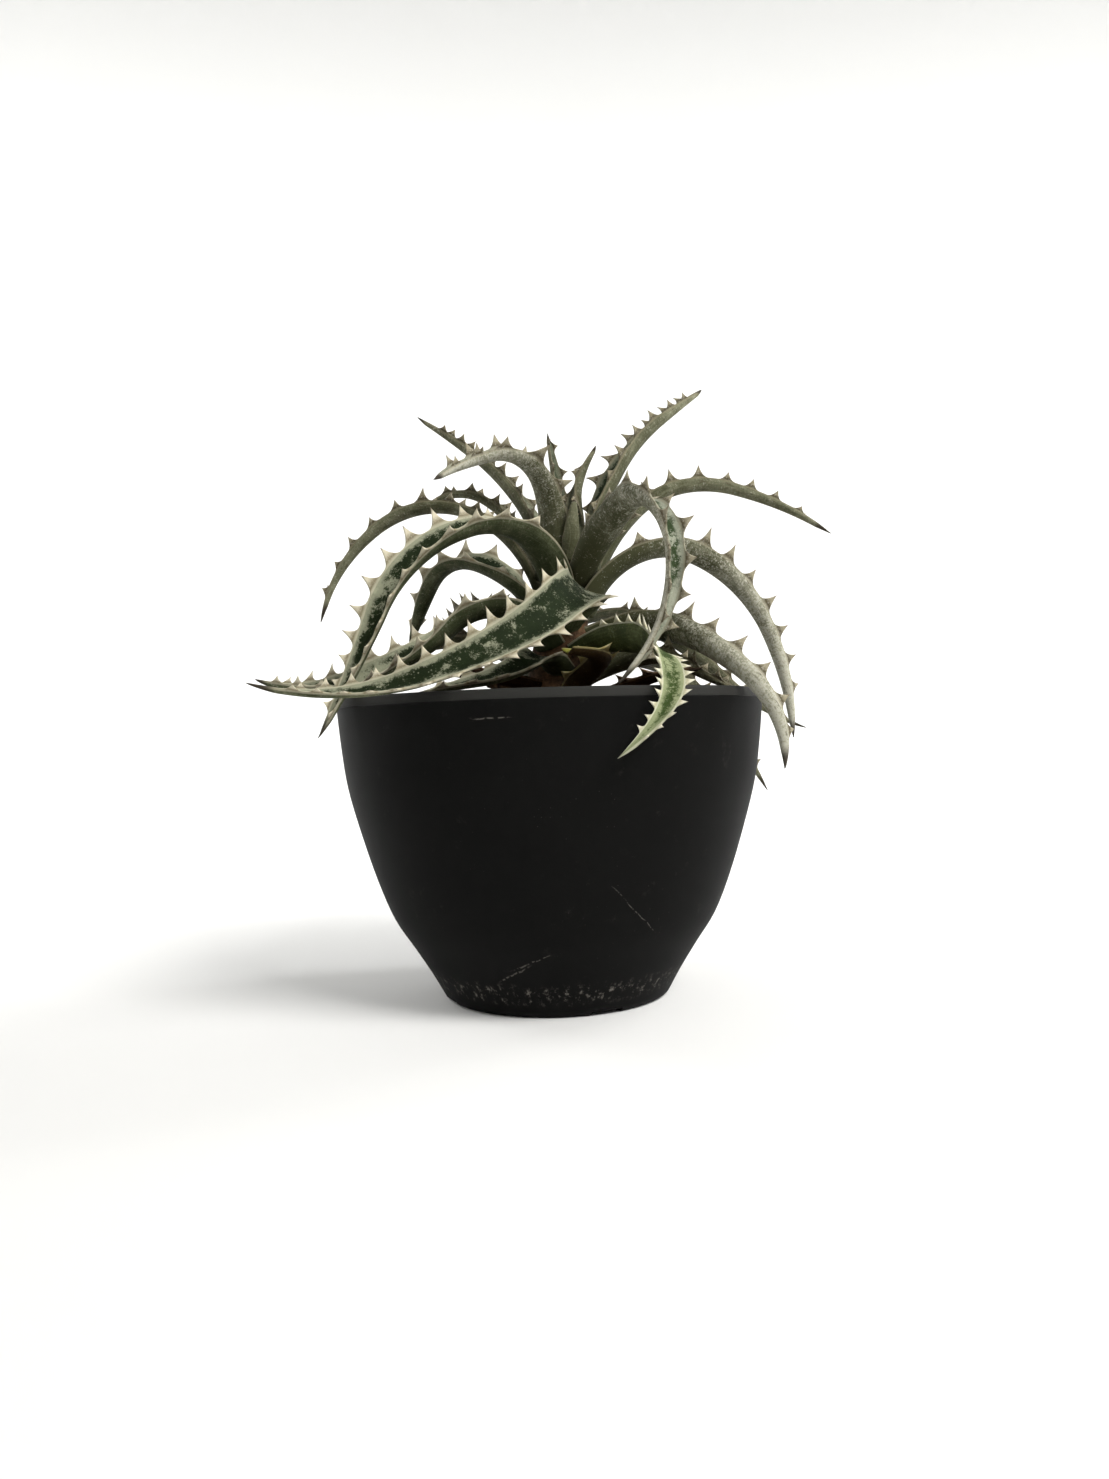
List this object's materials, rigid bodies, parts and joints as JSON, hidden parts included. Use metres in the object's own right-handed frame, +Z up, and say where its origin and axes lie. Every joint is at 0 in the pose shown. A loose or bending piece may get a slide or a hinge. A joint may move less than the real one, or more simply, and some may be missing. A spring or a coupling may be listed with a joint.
{
  "type": "potted dyckia bromeliad",
  "caption": "Spiny dyckia rosette with channelled, toothed leaves arching from a short stem, growing in soil in a round tapered plastic nursery pot.",
  "frame": {"origin": "middle of the flat pad under the pot, on the surface that it stands on", "axes": "+Z up out of the pot, +X towards the plant's right-hand side and +Y away from its front, as seen in the picture"},
  "size_m": [0.1704, 0.1602, 0.185],
  "materials": {
    "pot_plastic": "satin near-black moulded plastic with fine scratches",
    "potting_soil": "dark crumbly bark and peat mix",
    "stem_bark": "dry brown stem with dried leaf bases",
    "leaf_skin": "leathery, dark green above, grey-green and striped beneath, cream toothed margins",
    "young_leaf": "leathery, light green with cream margins",
    "cut_leaf": "yellow-green, browned beneath",
    "dried_leaf": "dry and papery, brown with pale edges"
  },
  "bodies": {
    "root": {"pot": "pot_plastic", "soil": "potting_soil", "stem": "stem_bark", "leaf_01": "leaf_skin", "leaf_02": "dried_leaf", "leaf_03": "leaf_skin", "leaf_04": "leaf_skin", "leaf_05": "leaf_skin", "leaf_06": "leaf_skin", "leaf_07": "leaf_skin", "leaf_08": "young_leaf", "leaf_09": "leaf_skin", "leaf_10": "leaf_skin", "leaf_11": "leaf_skin", "leaf_12": "leaf_skin", "leaf_13": "leaf_skin", "leaf_14": "leaf_skin", "leaf_15": "leaf_skin", "leaf_16": "leaf_skin", "leaf_17": "leaf_skin", "leaf_18": "leaf_skin", "leaf_19": "leaf_skin", "leaf_20": "leaf_skin", "leaf_21": "leaf_skin", "leaf_22": "leaf_skin", "leaf_23": "leaf_skin", "leaf_24": "leaf_skin", "leaf_25": "leaf_skin", "leaf_26": "leaf_skin", "leaf_27": "leaf_skin", "leaf_stub": "cut_leaf", "dead_leaf": "dried_leaf"}
  },
  "joints": []
}
